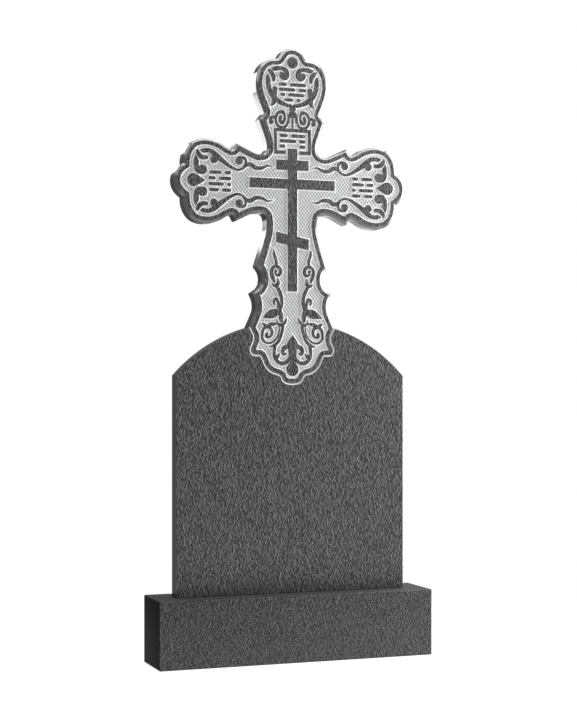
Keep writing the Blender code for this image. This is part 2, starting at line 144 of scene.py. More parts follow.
# Granite's painted light and shade: a copy of the crystal pattern moved aside is taken away, which paints a
# lit flank and a shaded flank on each crystal; how many crystal widths aside the copy lies, and how much of
# it is taken away
PAINTED_FLANK_SHIFT = 0.9
PAINTED_SHADE_SHARE = 0.45

# Granite's fine grain: its size as a share of the crystals' size, its place, and how much of it is added
FINE_SIZE = 0.6
FINE_PLACE = (0.5, 0.4, 0.3)
FINE_SHARE = 0.3

# Granite's grey levels: the place of each, and how many contrasts it is above the stone's level
GRANITE_STOPS = [(0.16, -1), (0.46, 0), (0.70, 1.2), (0.90, 3.8)]

# A grey's blue, as a share of its red and green
COOLNESS = 1.01

# Cut stone's gloss, its grain's size and place, and on the dotted ground the middle value, the waves' swing
# and the grain's share
CUT_GLOSS = 0.2
GRAIN_SIZE = 0.0016
GRAIN_PLACE = (0.2, 0.1, 0.6)
DOTS_MIDDLE = 0.44
DOTS_SWING = 0.5
DOTS_GRAIN = 0.12

# Camera: where it stands, how far it is turned to the right, its sensor, its lens and its upward shift
CAMERA_PLACE = (-1.3385, -3.6431, 0.6614)
CAMERA_TURN = 20.1244
CAMERA_SENSOR = 36
CAMERA_LENS = 79.52
CAMERA_SHIFT = 0.0429

# Where a mix node has its two colours among its inputs, and the mixed one among its outputs
MIX_COLOURS = (6, 7)
MIX_RESULT = 2

# Studio: the light from all sides, the floor and the soft boxes (place, aim, width, height, brightness)
FILL = 0.25
FLOOR_RADIUS = 1.3
FLOOR_SIDES = 96
FLOOR_LEVEL = 0.4
FLOOR_ROUGHNESS = 0.9
FLOOR_GLOSS = 0.1
FLOOR_GLOW = 0.87
SOFT_BOXES = {
    "front": ((0.8, -1.4, 1.9), (0.05, 0, 1.1), 0.9, 1.0, 2.4),
    "right": ((1.2, -0.45, 1.2), (0.1, 0, 0.9), 0.6, 1.4, 7.4),
    "upper left": ((-1.2, -0.35, 2.1), (-0.1, 0, 1.25), 0.4, 0.8, 3.0),
    "overhead": ((0.22, 0.12, 2.3), (0.178, 0.27, 0.9), 2.0, 0.4, 5.5),
    "behind right": ((1.7, 0.525, 1.35), (0.3, 0, 1.1), 0.3, 2.1, 8.0),
    "behind low": ((0.45, 1.0, 0.72), (0.25, 0, 1.05), 0.7, 0.42, 1.4),
    "behind left": ((-0.255, 0.6, 1.275), (-0.1, 0, 1.2), 0.14, 0.22, 8.0),
    "behind shoulder": ((-0.315, 0.6, 1.115), (-0.1, 0, 1.07), 0.09, 0.1, 5.0),
    "behind crown": ((-0.27, 0.6, 1.53), (-0.1, 0, 1.42), 0.18, 0.27, 8.0),
}

# The drawing's units are millimetres on a cross of this height, measured from the arms' axis
DRAWN_HEIGHT = 811.2
DRAWN_FOOT = -484.0

# Right half of the cross's outline: each stretch runs smoothly between two sharp corners
CROWN = [(0, 327.2), (11, 325.4), (20, 319.8), (27, 310), (31.5, 303.3), (37, 299.8), (46, 299.2),
         (58, 297), (68, 291.3), (77, 281.8), (83.5, 268), (87.4, 241), (85.3, 225), (73, 189.8),
         (66.6, 171), (78, 154.2)]
NECK = [(78, 154.2), (64.8, 117.2), (60, 102.5), (58.7, 91), (59.8, 80.5), (63.5, 73.5), (69.5, 68),
        (77, 65.2), (86, 64), (96, 66), (112, 72.8), (141, 86)]
ARM_SWELL = [(141, 86), (144.5, 79.3), (149, 74.6), (155.5, 72.6), (164, 75.2), (191, 89.8), (205, 94),
             (220, 95.8), (236, 94), (250, 88), (260.5, 77), (267.5, 62.5), (270.4, 47), (270.6, 36.5)]
ARM_TIP = [(270.6, 36.5), (279, 30.5), (287, 22), (292.3, 12), (294.2, 0)]
HIP = [(141, -86), (100, -67.5), (85, -65.5), (72, -67.8), (64.5, -74), (60.5, -85), (59, -100), (60, -115),
       (66.7, -143), (84.3, -200.5)]
UPPER_BAY = [(84.3, -200.5), (77.7, -209), (73.2, -219), (71.2, -233), (73, -245), (79.3, -257), (95, -269)]
LOWER_BAY = [(95, -269), (90, -281), (87.2, -297), (88.5, -311), (93.2, -323), (105.5, -350)]
ANKLE = [(105.5, -350), (100.5, -359.5), (96.5, -367), (95.4, -376), (97, -386), (103, -399.5), (104, -408),
         (100.5, -413.3)]
FOOT = [(100.5, -413.3), (92, -414.5), (84, -414.2), (78.5, -417.5), (74.5, -424), (66.5, -441.5),
        (59.5, -450), (50, -456.5), (33, -462), (27.5, -465.5), (21, -478), (14, -482), (0, -484)]

# Carved strands: each point is across, up and how wide the strand is there
ARM_VINE = [(234.5, 72.5, 3), (228, 71.5, 11), (219, 72.5, 11), (209, 71, 11.5), (200, 65.5, 13.5),
            (191, 58, 14.5), (176, 47, 11.5), (157, 35, 8.5), (140, 29.3, 6.5), (128, 33, 6.5),
            (118, 42.5, 9.5), (109, 44, 11.5), (95, 36.5, 10.5), (79, 36.5, 8.5), (63, 43.3, 5),
            (49, 39.5, 1)]
ARM_VINE_RING = [(138, 57.5, 10), (130, 59.3, 8), (122.8, 57, 7), (120, 50.5, 6.5), (121.5, 41, 7)]
ARM_HOOK = [(247.2, 59.5, 3), (246.3, 53, 9.5), (245.2, 46, 14), (245.6, 37, 13.5), (244, 28.5, 13.5),
            (238, 22, 14), (229.5, 21.5, 12)]
ARM_CUP = [(242.5, 71.5, 6), (241, 65.5, 11), (236, 59, 12), (229, 55.3, 11.5), (219.5, 55.3, 10)]
CROWN_SCROLL = [(55.5, 281, 2), (48.5, 279.5, 10.5), (41, 280.8, 12), (33, 281.8, 10.5),
                (25, 280.5, 11.5), (17, 275.5, 14), (13.5, 268, 12)]
CROWN_LEAF = [(48.3, 252.5, 9), (48.7, 259, 11.5), (51.8, 266.8, 12), (57.2, 272.6, 11), (63.5, 277, 3.5)]
CROWN_ARC = [(65, 265.5, 3), (63.8, 258.5, 10), (63, 249, 13), (62.6, 240, 12.8), (60.3, 229.5, 12.5),
             (55.5, 219.5, 13), (48, 210.5, 13.5), (38.5, 203, 13), (27.5, 197, 11.5), (15, 193, 10),
             (4, 191.5, 8.5)]
CROWN_TAIL = [(50, 215, 11), (47.7, 204, 13), (50.3, 195, 10), (57.8, 189, 1.5)]
CROWN_CURL = [(45.8, 230.5, 13), (46.3, 222, 13.5), (48, 213, 13)]
VOLUTE_HOOK = [(44, 161.5, 9), (51, 162, 8.5), (56, 158.5, 9), (56, 151.5, 10)]
SHAFT_FLAME = [(47.5, -158.5, 1), (48, -168, 7), (45.5, -178, 8), (42, -188, 8), (42.5, -198, 8)]
SHAFT_SPIRAL = [(47.5, -238, 7), (52, -226, 10), (54.5, -213, 9), (50.5, -204, 9), (43, -200.5, 8.5),
                (34.5, -204.5, 9.5), (31, -214, 10), (36, -222.5, 8), (43.5, -221, 5), (44, -212, 8)]
SHAFT_COLLAR = [(38, -231, 3.5), (37, -239, 8), (40.5, -246, 9), (46.5, -248, 8), (52.5, -242.5, 3)]
COLLAR_EAR = [(33.5, -242.5, 4), (38, -246, 7), (44, -248, 7)]
SHAFT_STEM = [(41, -249, 8), (36, -257, 9.5), (31.5, -267, 10), (28, -281, 9.5), (28, -291, 10),
              (31, -300, 11), (33.5, -309, 12), (30.5, -319, 13), (29, -333, 10)]
SHAFT_CURL = [(36.5, -301, 8), (37.5, -288, 7.5), (42, -280.5, 8.5), (47.5, -284, 7.5), (48, -290, 6.5),
              (45.5, -295, 3.5)]
SHAFT_LEAF = [(34, -308, 8), (41, -312, 17), (50, -315.8, 22.5), (60, -319.3, 19.5), (69, -323, 11),
              (77, -327.3, 1)]
SHAFT_CUP = [(15.5, -327, 3.5), (18.5, -335.5, 7), (25, -342, 8), (33, -343.5, 8), (39, -339, 6),
             (40, -332, 3)]
SPROUT_SIDE = [(43.5, -340.5, 5), (51, -341.5, 10), (59, -344, 10), (66, -348, 9), (73, -343, 8),
               (79, -339.5, 3)]
LOOP_OUTER = [(25, -347, 9), (27.5, -361, 8.5), (32, -374.5, 8.5), (38.5, -386.5, 8.5), (47, -393, 8.5),
              (54.5, -396, 5), (60.5, -395.5, 2)]
LOOP_INNER = [(33.5, -346, 4), (35, -362, 4.5), (41, -376, 5), (50, -384.5, 5.3), (60, -388, 5.5),
              (70, -386, 6), (77.5, -378.5, 7), (78.5, -367, 7.5), (76, -356, 8), (68, -347.5, 9)]
LOOP_CORE = [(66, -347.5, 9), (57.5, -351.5, 8.5), (53.3, -360, 8), (55.5, -369.5, 7.5),
             (62, -373.8, 6.5), (67.5, -371.5, 8.5), (67, -366, 9)]
FOOT_STEM = [(0, -367, 1), (0, -377, 15), (0, -388, 28), (0, -403, 23), (0, -420, 21)]
FOOT_CURL = [(4, -391, 16), (14, -396, 12), (22.5, -400.5, 12), (25.3, -408.5, 10), (21.8, -414.8, 8.5),
             (17, -413, 5)]
FOOT_SCROLL = [(45, -392, 8), (47.3, -409, 9), (46.3, -421, 9.5), (40.5, -431, 10), (30.5, -437, 10.5),
               (20, -436, 10.5), (10, -429, 10.5), (3, -418, 10)]
FOOT_BARB = [(46, -420, 10), (40, -421, 11), (34.5, -415, 5)]

# Round bosses: across, up, radius
ARM_BALLS = [(137.5, 51, 9.8), (200.7, 51.5, 9.8), (229.3, 26.3, 12)]
CROWN_BALLS = [(21.3, 266.2, 13.6), (45.5, 230.5, 7), (55, 150, 6.6)]
CROWN_BOSS = (0, 297.2, 14.3)

# Drops: middle across and up, radius, and the tip's distance from the middle
ARM_DROP = (252, 0.5, 16, 31)
FOOT_DROP = (0, -452.3, 16.2, 28.3)

# Flat bars of the eight-pointed cross, and the frame of its title panel: left, right, bottom, top
BEAM = (-12.6, 12.6, -261.5, 87.5)
TITLE_BAR = (-42.5, 42.5, 34.5, 59.5)
CROSS_BAR = (-111, 111, -11.5, 13)
FRAME_TOP = (-48.3, 48.3, 127.5, 136.3)
FRAME_SIDE = (39.8, 48.3, 73, 130)
FRAME_FOOT = (17, 48.3, 72.8, 82.3)

# The slanted footrest: half its width, its middle's place up, how much its left end is higher, its height
FOOTREST = (42.6, -137.9, 17.2, 26.9)

# Volutes above the panel: a raised oval, middle and half sizes, with a winding slit cut down into it
VOLUTE = (27.5, 157.5, 20, 23.5)
VOLUTE_SLIT = [(26.5, 156.5, 3), (24.8, 163.5, 3), (28, 169.5, 3), (34, 169, 3), (38, 161, 3),
               (37.5, 151, 3.2), (33, 145, 3.2), (26.5, 143.3, 3.2), (19, 147, 3.2), (15.7, 156, 3.2),
               (15.2, 166, 3), (17.5, 174.5, 3), (21, 184, 3)]

# The slit that winds into each scroll of the crown
CROWN_SLIT = [(23, 272.6, 2), (27, 275, 3), (32, 275, 3.4), (36.3, 271.5, 4.2), (38, 265, 4.5)]

# Rows of plain raised strokes: left, right and height of each stroke
ARM_STROKES = [(157, 174, 21), (181, 213, 21), (157, 189, 7), (196, 215, 7), (157, 168, -7), (175, 215, -7),
               (157, 181, -21), (188, 213, -21)]
CROWN_STROKES = [(-36, -14, 243.5), (-7, 36, 243.5), (-36, 8, 231), (15, 36, 231), (-32, -18, 218.5),
                 (-11, 32, 218.5), (-22, 3, 206), (10, 22, 206)]
PANEL_STROKES = [(-34, -12, 118.5), (-5, 34, 118.5), (-34, 10, 105.5), (17, 34, 105.5), (-34, -18, 92.5),
                 (18, 34, 92.5)]
STROKE_WIDTH = 8.6

# The right half of the small arrowhead between the volutes, from its tip down to the panel
ARROWHEAD = [(0, 193), (5, 188.5), (9.8, 184.5), (7, 178.5), (10.5, 174), (9.5, 162), (9.5, 151),
             (6.6, 149), (6, 162), (3, 162), (2.8, 150), (2.8, 134)]


def smooth_curve(points, samples=12):
    """A smooth curve through the points, any number of values each; the first two are across and up."""
    points = np.array(points, float)
    chords = np.linalg.norm(np.diff(points[:, :2], axis=0), axis=1)
    slopes = np.diff(points, axis=0) / chords[:, None]
    tangents = np.empty_like(points)
    tangents[0] = slopes[0]
    tangents[-1] = slopes[-1]
    before, after = chords[:-1, None], chords[1:, None]
    tangents[1:-1] = (slopes[:-1] * after + slopes[1:] * before) / (before + after)
    pieces = []
    for i, chord in enumerate(chords):
        t = np.linspace(0, 1, samples, endpoint=False)[:, None]
        start, end = points[i], points[i + 1]
        pieces.append((2 * t**3 - 3 * t**2 + 1) * start + (t**3 - 2 * t**2 + t) * chord * tangents[i]
                      + (3 * t**2 - 2 * t**3) * end + (t**3 - t**2) * chord * tangents[i + 1])
    return np.vstack([*pieces, points[-1:]])


def simplified(line, tolerance):
    """The fewest of the line's points that keep within the tolerance of it."""
    if len(line) < 3:
        return line
    start, end = line[0], line[-1]
    along = end - start
    length = np.linalg.norm(along)
    offsets = line - start
    if length > 0:
        away = np.abs(offsets[:, 0] * along[1] - offsets[:, 1] * along[0]) / length
    else:
        away = np.linalg.norm(offsets, axis=1)
    furthest = int(np.argmax(away))
    if away[furthest] <= tolerance:
        return np.array([start, end])
    first = simplified(line[:furthest + 1], tolerance)
    second = simplified(line[furthest:], tolerance)
    return np.vstack([first[:-1], second])


def mirrored(points, across=True):
    """The points on the other side of the cross's middle line, or of the arms' axis."""
    flip = np.array([-1, 1]) if across else np.array([1, -1])
    return (np.array(points, float) * flip)[::-1]


def cross_outline(tolerance):
    """The front edge of the cross, clockwise from its crown as seen from the front, closed."""
    right = [smooth_curve(CROWN), smooth_curve(NECK), smooth_curve(ARM_SWELL)]
    tip = smooth_curve(ARM_TIP + [(x, -z) for x, z in ARM_TIP[-2::-1]])
    right += [tip, mirrored(smooth_curve(ARM_SWELL), across=False)]
    right += [smooth_curve(stretch) for stretch in (HIP, UPPER_BAY, LOWER_BAY, ANKLE, FOOT)]
    kept = [simplified(stretch, tolerance)[:-1] for stretch in right]
    half = np.vstack([*kept, [FOOT[-1]]])
    return np.vstack([half[:-1], mirrored(half)[:-1]])


def distances_to(points, outline):
    """Each point's distance to the closed outline."""
    points = np.asarray(points, float)
    nearest = np.full(len(points), np.inf)
    for start, end in zip(outline, np.roll(outline, -1, axis=0)):
        along = end - start
        share = np.clip((points - start) @ along / (along @ along), 0, 1)
        nearest = np.minimum(nearest, np.linalg.norm(points - start - share[:, None] * along, axis=1))
    return nearest


def offset_outline(outline, distance):
    """The clockwise outline moved outwards, or inwards by a negative distance, its overlaps trimmed."""
    before = outline - np.roll(outline, 1, axis=0)
    after = np.roll(outline, -1, axis=0) - outline
    before /= np.linalg.norm(before, axis=1)[:, None]
    after /= np.linalg.norm(after, axis=1)[:, None]
    normals = np.column_stack([-(before + after)[:, 1], (before + after)[:, 0]])
    normals /= np.linalg.norm(normals, axis=1)[:, None]
    side = np.column_stack([-after[:, 1], after[:, 0]])
    stretch = 1 / np.maximum((normals * side).sum(axis=1), MITRE_LIMIT)
    moved = outline + normals * (stretch * distance)[:, None]
    return moved[distances_to(moved, outline) > abs(distance) * TRIM_SHARE]


def strand(points, tolerance):
    """A carved strand with round ends along a smooth line of changing width."""
    line = smooth_curve(points)
    middle, half = line[:, :2], line[:, 2] / 2
    heading = np.gradient(middle, axis=0)
    heading /= np.linalg.norm(heading, axis=1)[:, None]
    normal = np.column_stack([-heading[:, 1], heading[:, 0]])
    left = middle + normal * half[:, None]
    right = middle - normal * half[:, None]
    angles = np.linspace(0, math.pi, END_CAP_STEPS + 1)[1:-1, None]
    end_cap = middle[-1] + half[-1] * (np.cos(angles) * normal[-1] + np.sin(angles) * heading[-1])
    start_cap = middle[0] - half[0] * (np.cos(angles) * normal[0] + np.sin(angles) * heading[0])
    loop = np.vstack([left, end_cap, right[::-1], start_cap, left[:1]])
    return simplified(loop, tolerance)[:-1]


def disc(across, up, radius, tolerance):
    """A round boss, with as many sides as the tolerance needs."""
    sides = max(BALL_SIDES, math.ceil(math.pi / math.acos(1 - tolerance / radius)))
    angles = 2 * math.pi * np.arange(sides) / sides
    return np.column_stack([across + radius * np.cos(angles), up + radius * np.sin(angles)])


def drop(across, up, radius, reach, heading, tolerance):
    """A teardrop: a round boss drawn out to a tip, which points along the heading."""
    spread = math.acos(radius / reach)
    steps = max(DROP_SIDES, math.ceil((math.pi - spread) / math.acos(1 - tolerance / radius)))
    angles = heading + np.linspace(spread, 2 * math.pi - spread, steps)
    round_part = np.column_stack([across + radius * np.cos(angles), up + radius * np.sin(angles)])
    tip = (across + reach * math.cos(heading), up + reach * math.sin(heading))
    return np.vstack([[tip], round_part])


def bar(left, right, bottom, top):
    """A flat bar with square ends."""
    return np.array([(left, bottom), (right, bottom), (right, top), (left, top)], float)


def slanted_bar(half_width, middle, rise, height):
    """The footrest: its left end stands higher than its right."""
    left_up, right_up = middle + rise / 2, middle - rise / 2
    half = height / 2
    return np.array([(-half_width, left_up - half), (half_width, right_up - half),
                     (half_width, right_up + half), (-half_width, left_up + half)])


def oval(across, up, half_width, half_height, tolerance):
    """A round boss stretched upwards."""
    circle = disc(0, 0, half_width, tolerance)
    return circle * (1, half_height / half_width) + (across, up)


def stroke(left, right, up, tolerance):
    """A plain stroke, round at both ends."""
    half = STROKE_WIDTH / 2
    return strand([(left + half, up, STROKE_WIDTH), (right - half, up, STROKE_WIDTH)], tolerance)


def raised_shapes(tolerance):
    """Everything left standing on the sunk ground, in the drawing's units."""
    def strands(*lines):
        return [strand(line, tolerance) for line in lines]

    def discs(balls):
        return [disc(*ball, tolerance) for ball in balls]

    quarter = strands(ARM_VINE, ARM_VINE_RING, ARM_HOOK, ARM_CUP) + discs(ARM_BALLS)
    arm = quarter + [mirrored(shape, across=False) for shape in quarter]
    arm.append(drop(*ARM_DROP, math.pi, tolerance))
    arm += [stroke(*line, tolerance) for line in ARM_STROKES]
    crown = strands(CROWN_SCROLL, CROWN_LEAF, CROWN_ARC, CROWN_TAIL, CROWN_CURL, VOLUTE_HOOK)
    crown += discs(CROWN_BALLS) + [oval(*VOLUTE, tolerance), bar(*FRAME_SIDE), bar(*FRAME_FOOT)]
    shaft = strands(SHAFT_FLAME, SHAFT_SPIRAL, SHAFT_COLLAR, COLLAR_EAR, SHAFT_STEM, SHAFT_CURL, SHAFT_LEAF)
    shaft += strands(SHAFT_CUP, SPROUT_SIDE, LOOP_OUTER, LOOP_INNER, LOOP_CORE)
    foot = strands(FOOT_CURL, FOOT_SCROLL, FOOT_BARB)
    half = arm + crown + shaft + foot
    both = half + [mirrored(shape) for shape in half]
    middle = [disc(*CROWN_BOSS, tolerance), np.vstack([ARROWHEAD, mirrored(ARROWHEAD)[:-1]])]
    middle += [bar(*FRAME_TOP), strand(FOOT_STEM, tolerance), drop(*FOOT_DROP, math.pi / 2, tolerance)]
    middle += [bar(*BEAM), bar(*TITLE_BAR), bar(*CROSS_BAR), slanted_bar(*FOOTREST)]
    middle += [stroke(*line, tolerance) for line in CROWN_STROKES + PANEL_STROKES]
    return both + middle


def slits(tolerance):
    """Grooves cut down to the ground through the raised shapes."""
    right = [strand(VOLUTE_SLIT, tolerance), strand(CROWN_SLIT, tolerance)]
    return right + [mirrored(shape) for shape in right]


def slab_outline():
    """The slab's front, with a flat foot, upright sides and an arched top, anticlockwise."""
    half = SLAB_WIDTH / 2
    radius = (half**2 + ARCH_RISE**2) / (2 * ARCH_RISE)
    swing = math.asin(half / radius)
    middle = SHOULDER_HEIGHT + ARCH_RISE - radius
    angles = np.linspace(swing, -swing, ARCH_STEPS + 1)
    arch = np.column_stack([radius * np.sin(angles), middle + radius * np.cos(angles)])
    return np.vstack([[(-half, 0), (half, 0)], arch])


def inside(points, outline):
    """Which points the closed outline winds around."""
    near = np.flatnonzero(np.all((points > outline.min(axis=0)) & (points < outline.max(axis=0)), axis=1))
    x, z = points[near, 0], points[near, 1]
    winding = np.zeros(len(near), int)
    for (x0, z0), (x1, z1) in zip(outline, np.roll(outline, -1, axis=0)):
        side = (x1 - x0) * (z - z0) - (x - x0) * (z1 - z0)
        winding += (z0 <= z) & (z1 > z) & (side > 0)
        winding -= (z0 > z) & (z1 <= z) & (side < 0)
    found = np.zeros(len(points), bool)
    found[near[winding != 0]] = True
    return found


def inside_any(points, outlines):
    """Which points lie inside at least one of the outlines."""
    return np.any([inside(points, outline) for outline in outlines], axis=0)


def triangulated(outlines, free_points=()):
    """Triangles whose edges follow every outline, with further points on no outline."""
    points = []
    edges = []
    for outline in outlines:
        first = len(points)
        count = len(outline)
        points += [Vector(point) for point in outline]
        edges += [(first + i, first + (i + 1) % count) for i in range(count)]
    points += [Vector(point) for point in free_points]
    corners, _, triangles, *_ = delaunay_2d_cdt(points, edges, [], 0, SAME)
    return np.array([tuple(corner) for corner in corners]), np.array(triangles)


class FrontPlan:
    """Every outline of the carved front, placed on the stele: across, and up from its foot."""

    def __init__(self):
        unit = CROSS_HEIGHT / DRAWN_HEIGHT
        foot = SHOULDER_HEIGHT + ARCH_RISE - CROSS_FOOT_DROP
        self.axis_height = foot - DRAWN_FOOT * unit
        tolerance = CURVE_TOLERANCE / unit

        def placed(shape):
            return np.asarray(shape, float) * unit + (0, self.axis_height)

        self.slab = slab_outline()[::-1]
        self.slab_inner = offset_outline(self.slab, -SLAB_ARRIS)
        self.cross = placed(cross_outline(tolerance))
        self.brim = offset_outline(self.cross, EDGE_CHAMFER)
        self.seam = offset_outline(self.cross, EDGE_CHAMFER - SEAM_WIDTH)
        self.pocket = offset_outline(self.cross, -BORDER_WIDTH)
        self.raised = [placed(shape) for shape in raised_shapes(tolerance)]
        self.cut = [placed(shape) for shape in slits(tolerance)]

    def outlines(self):
        """Every closed outline, for the triangles' edges to follow."""
        edges = [self.slab, self.slab_inner, self.cross, self.seam, self.brim, self.pocket]
        return edges + self.raised + self.cut

    def on_ground(self, points):
        """Which points lie on the sunk ground or on the walls down to it."""
        standing = inside_any(points, self.raised) & ~inside_any(points, self.cut)
        return inside(points, self.pocket) & ~standing

    def kinds(self, points):
        """What each point lies on: face, ground, slope, seam, arris or outside."""
        on_slab = inside(points, self.slab)
        kinds = np.where(on_slab, "arris", "outside")
        kinds[inside(points, self.slab_inner)] = "face"
        kinds[inside(points, self.brim)] = "slope"
        kinds[(kinds == "slope") & on_slab & ~inside(points, self.seam)] = "seam"
        kinds[inside(points, self.cross)] = "face"
        kinds[self.on_ground(points)] = "ground"
        return kinds


def wall_lines(points, triangles, on_ground):
    """Start and end of each line where the ground meets what stands on it, with the ground on its left."""
    ground = []
    other = set()
    for triangle, sunk in zip(triangles.tolist(), on_ground):
        for i in range(3):
            edge = (triangle[i], triangle[(i + 1) % 3])
            if sunk:
                ground.append(edge)
            else:
                other.add(edge)
    edges = np.array([edge for edge in ground if (edge[1], edge[0]) in other])
    return points[edges[:, 0]], points[edges[:, 1]]


def stepped(starts, ends, step):
    """Points along the lines no further apart than the step, and each one's direction to the left."""
    places = []
    lefts = []
    for start, end in zip(starts, ends):
        along = end - start
        length = np.linalg.norm(along)
        count = max(1, math.ceil(length / step))
        shares = (np.arange(count)[:, None] + 0.5) / count
        places.append(start + shares * along)
        lefts.append(np.tile((-along[1] / length, along[0] / length), (count, 1)))
    return np.vstack(places), np.vstack(lefts)


class WallDistance:
    """How far points are from the nearest carved wall's top edge."""

    def __init__(self, starts, ends):
        samples, _ = stepped(starts, ends, WALL_SAMPLE)
        samples = np.vstack([samples, starts])
        self.tree = KDTree(len(samples))
        for i, (x, z) in enumerate(samples):
            self.tree.insert((x, z, 0), i)
        self.tree.balance()

    def of(self, points):
        """Each point's distance to the nearest top edge."""
        return np.array([self.tree.find((x, z, 0))[2] for x, z in points])


def grid(low, high, step_across, step_up, start=(0, 0)):
    """A regular grid of points over the box, lined up with the start."""
    first_column = math.ceil((low[0] - start[0]) / step_across)
    last_column = (high[0] - start[0]) // step_across
    first_row = math.ceil((low[1] - start[1]) / step_up)
    last_row = (high[1] - start[1]) // step_up
    columns = np.arange(first_column, last_column + 1)
    rows = np.arange(first_row, last_row + 1)
    across, up = np.meshgrid(start[0] + columns * step_across, start[1] + rows * step_up)
    return np.column_stack([across.ravel(), up.ravel()])


def ground_points(plan, starts, ends, wall_distance):
    """Points at the walls' feet, in the narrow valleys between walls, and on the dotted ground."""
    low, high = plan.pocket.min(axis=0), plan.pocket.max(axis=0)
    tops, lefts = stepped(starts, ends, FOOT_STEP)
    feet = tops + lefts * WALL_RUN
    feet = feet[wall_distance.of(feet) > FOOT_SHARE * WALL_RUN]
    valleys = grid(low, high, VALLEY_STEP, VALLEY_STEP)
    valleys = valleys[plan.on_ground(valleys)]
    reach = wall_distance.of(valleys)
    valleys = valleys[(reach > VALLEY_LEAST * WALL_RUN) & (reach < VALLEY_MOST * WALL_RUN)]
    dots = grid(low, high, DOT_ACROSS / DOT_SAMPLES, DOT_UP / DOT_SAMPLES, (0, plan.axis_height))
    dots = dots[plan.on_ground(dots)]
    dots = dots[wall_distance.of(dots) > DOTS_SHARE * WALL_RUN]
    return np.vstack([feet, valleys, dots])


def ground_depths(points, reach, axis_height):
    """How deep the sunk ground is at each point, with its dots and with its leaning walls."""
    across = 2 * math.pi * points[:, 0] / DOT_ACROSS
    up = 2 * math.pi * (points[:, 1] - axis_height) / DOT_UP
    dots = sum(share * np.cos(across + rise * up - math.radians(start)) for rise, start, share in DOT_WAVES)
    dots = dots * np.clip(reach / WALL_RUN - 1, 0, 1)
    return GROUND_DEPTH * np.clip(reach / WALL_RUN, 0, 1) - DOT_HEIGHT * dots


class Relief:
    """Builds one closed body from a plan whose triangles lie at different depths below the front."""

    def __init__(self, points):
        self.mesh = bmesh.new()
        self.points = points
        self.corners = {}
        self.levels = {}

    def corner(self, point, step):
        """The corner at a plan point, at a depth counted in steps of the smallest length."""
        if (point, step) not in self.corners:
            x, z = self.points[point]
            self.corners[point, step] = self.mesh.verts.new((x, step * SAME, z))
        return self.corners[point, step]

    def note_level(self, point, step):
        """Remembers that a triangle meets this plan point at this depth."""
        self.levels.setdefault(point, set()).add(step)

    def face(self, corners, material):
        """A face of the body in one of its materials."""
        self.mesh.faces.new(corners).material_index = material

    def upright(self, point, here, there):
        """The corners on the line into the stone at a plan point, from one depth to another."""
        if here == there:
            return [self.corner(point, here)]
        nearer, deeper = sorted((here, there))
        between = [step for step in sorted(self.levels[point]) if nearer < step < deeper]
        line = [self.corner(point, step) for step in (nearer, *between, deeper)]
        return line if here < there else line[::-1]

    def wall(self, start, end, depths_here, depths_there, material):
        """The wall along an edge between this side's depths and the other side's."""
        first = self.upright(start, depths_here[0], depths_there[0])
        second = self.upright(end, depths_here[1], depths_there[1])
        loop = first + second[::-1]
        if len(loop) > 2:
            self.face(loop, material)


def relief_body(points, triangles, depths, materials, thickness):
    """One closed body: the triangles at their depths, walls where they differ, sides and a flat back."""
    relief = Relief(points)
    back = round((thickness - SLAB_ARRIS) / SAME)
    steps = np.round(depths / SAME).astype(int).tolist()
    edges = {}
    for triangle, depth in zip(triangles.tolist(), steps):
        for i in range(3):
            start, end = triangle[i], triangle[(i + 1) % 3]
            edges[start, end] = (depth[i], depth[(i + 1) % 3])
            relief.note_level(start, depth[i])
    for triangle, depth, material in zip(triangles.tolist(), steps, materials):
        relief.face([relief.corner(point, step) for point, step in zip(triangle, depth)], material)
    rim = {}
    for (start, end), here in edges.items():
        if (end, start) not in edges:
            rim[start] = end
            relief.wall(end, start, here[::-1], (back, back), SIDES_PAINTED_SHADE)
            continue
        there = edges[end, start][::-1]
        if start < end and here != there:
            relief.wall(end, start, here[::-1], there[::-1], CUT)
    loop = [next(iter(rim))]
    while rim[loop[-1]] != loop[0]:
        loop.append(rim[loop[-1]])
    relief.face([relief.corner(point, back) for point in reversed(loop)], POLISHED)
    return relief.mesh


def wall_reach(points, triangles, on_ground, wall_distance):
    """Each ground point's distance from the walls' top edges, and 0 for all that touch anything else."""
    reach = np.zeros(len(points))
    used = np.unique(triangles[on_ground])
    reach[used] = wall_distance.of(points[used])
    reach[np.unique(triangles[~on_ground])] = 0
    return reach


def front_depths(plan, points, triangles, kinds, reach):
    """How deep the three corners of each triangle lie."""
    slope = np.minimum(distances_to(points, plan.cross), EDGE_CHAMFER)
    flank = (EDGE_CHAMFER - slope) * (EDGE_CHAMFER / SEAM_WIDTH - 1)
    arris = SLAB_ARRIS - np.minimum(distances_to(points, plan.slab), SLAB_ARRIS)
    by_kind = {"ground": ground_depths(points, reach, plan.axis_height),
               "slope": slope,
               "seam": np.clip(flank, 0, EDGE_CHAMFER - SEAM_WIDTH),
               "arris": arris}
    depths = np.zeros(triangles.shape)
    for kind, depth in by_kind.items():
        depths[kinds == kind] = depth[triangles[kinds == kind]]
    return depths


def front_materials(triangles, kinds, reach):
    """The number of each triangle's material."""
    ground = kinds == "ground"
    flat = ground & np.all(reach[triangles] > FLAT_SHARE * WALL_RUN, axis=1)
    materials = np.full(len(triangles), POLISHED)
    materials[ground] = CUT
    materials[kinds == "slope"] = EDGE_PAINTED_LIGHT
    materials[kinds == "seam"] = FLANK
    materials[flat] = GROUND
    return materials.tolist()


